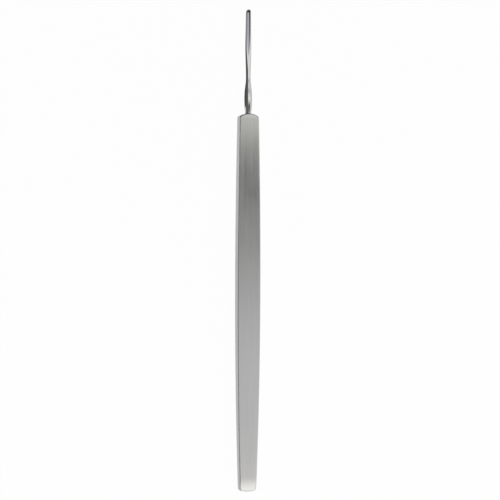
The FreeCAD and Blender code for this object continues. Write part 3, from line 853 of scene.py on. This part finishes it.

# %% [markdown]
# A bar this flat mirrors only a small patch of its surroundings, so a studio puts a graded panel
# close above it. The panel is a plain sheet that glows by a ramp along Y: dark over the handle's
# upper third, brighter towards the tip and the butt, and dark again past the tip. Its tint drifts a
# little. The camera doesn't see it, and it casts no shadow.

# %% Hang the graded panel
PANEL_HEIGHT = 0.12
PANEL_LEFT, PANEL_RIGHT = -0.02, 0.13
PANEL_END = 0.15
PANEL_GRADES = ((-150, 1.7), (-110, 1.5), (-80, 1.0), (-71, 0.74), (-60, 0.75), (-47, 0.73), (-35, 0.76),
                (-22, 0.68), (-16, 0.59), (-4, 0.47), (8, 0.32), (15, 0.165), (24, 0.11), (28, 0.12),
                (31, 0.19), (34, 0.36), (38, 0.68), (42, 0.94), (48, 1.25), (58, 1.05), (62, 1.0), (66, 0.68),
                (74, 0.68), (78, 1.0), (88, 1.0), (98, 0.10))
PANEL_TINTS = ((-80, (1.0, 0.99, 0.965)), (-59, (0.99, 0.985, 1.01)), (-22, (0.99, 0.99, 1.015)),
               (0, (1, 1, 1)), (24, (0.99, 1.0, 0.99)), (38, (1.0, 1.0, 0.93)), (60, (1, 1, 1)),
               (70, (0.98, 0.97, 1.05)), (85, (1, 1, 1)))


def tint_at(y_mm):
    """The panel's tint at a place, between the two nearest tints of the list."""
    before = max((t for t in PANEL_TINTS if t[0] <= y_mm), default=PANEL_TINTS[0])
    after = min((t for t in PANEL_TINTS if t[0] > y_mm), default=PANEL_TINTS[-1])
    share = (y_mm - before[0]) / (after[0] - before[0]) if before[0] <= y_mm < after[0] else 0
    return [a + (b - a) * share for a, b in zip(before[1], after[1])]


def panel_material():
    """A glow graded along Y by the panel's own coordinates."""
    material = bpy.data.materials.new("graded_panel")
    material.use_nodes = True
    tree = material.node_tree
    tree.nodes.remove(tree.nodes["Principled BSDF"])
    place = node(tree, "ShaderNodeTexCoord")
    _, y, _ = split(tree, place.outputs["Object"])
    ramp = node(tree, "ShaderNodeValToRGB")
    fill_ramp(ramp, [(y_mm * MM / (2 * PANEL_END) + 0.5, [level * part for part in tint_at(y_mm)])
                     for y_mm, level in PANEL_GRADES])
    tree.links.new((y / (2 * PANEL_END) + 0.5).socket, ramp.inputs[0])
    glow = node(tree, "ShaderNodeEmission")
    tree.links.new(ramp.outputs[0], glow.inputs["Color"])
    tree.links.new(glow.outputs[0], tree.nodes["Material Output"].inputs["Surface"])
    return material


panel_corners = ((PANEL_LEFT, -PANEL_END), (PANEL_LEFT, PANEL_END),
                 (PANEL_RIGHT, PANEL_END), (PANEL_RIGHT, -PANEL_END))
panel = sheet("graded_panel", panel_corners, PANEL_HEIGHT, panel_material())
panel.visible_camera = False
panel.visible_shadow = False
print("panel", round((PANEL_RIGHT - PANEL_LEFT) * 1000), "mm wide, at", PANEL_HEIGHT, "m")

# %% [markdown]
# A polished rod on a white floor has no dark side, so its left edge would melt into the floor. As in a
# studio, a dark card lies on the floor to the left of the stem. Only mirrored rays meet it. Beside the
# tip the card is lighter, because the tip's edge is lighter too.

# %% Lay the dark card
CARD_LEFT, CARD_RIGHT = -0.060, -0.0016
CARD_NEAR, CARD_FAR = 0.0369, 0.110
CARD_HEIGHT = 0.00005
CARD_DARK, CARD_GAIN = 0.06, 0.50
CARD_FADE = (0.053, 0.061)


def card_material():
    """Matt, nearly black beside the stem's foot and lighter beside the tip."""
    material = bpy.data.materials.new("dark_card")
    material.use_nodes = True
    tree = material.node_tree
    shader = tree.nodes["Principled BSDF"]
    grey = CARD_DARK + CARD_GAIN - CARD_GAIN * clear_of(tree, *CARD_FADE, 0)
    tree.links.new(joined(tree, grey, grey, grey), shader.inputs["Base Color"])
    shader.inputs["Roughness"].default_value = 1
    return material


card_corners = ((CARD_LEFT, CARD_NEAR), (CARD_RIGHT, CARD_NEAR),
                (CARD_RIGHT, CARD_FAR), (CARD_LEFT, CARD_FAR))
card = sheet("dark_card", card_corners, CARD_HEIGHT, card_material())
card.visible_camera = False
card.visible_diffuse = False
card.visible_shadow = False
print("card", round((CARD_RIGHT - CARD_LEFT) * 1000), "mm wide")

# %% [markdown]
# Last, the view layer is updated once more.

# %% Finish
bpy.context.view_layer.update()
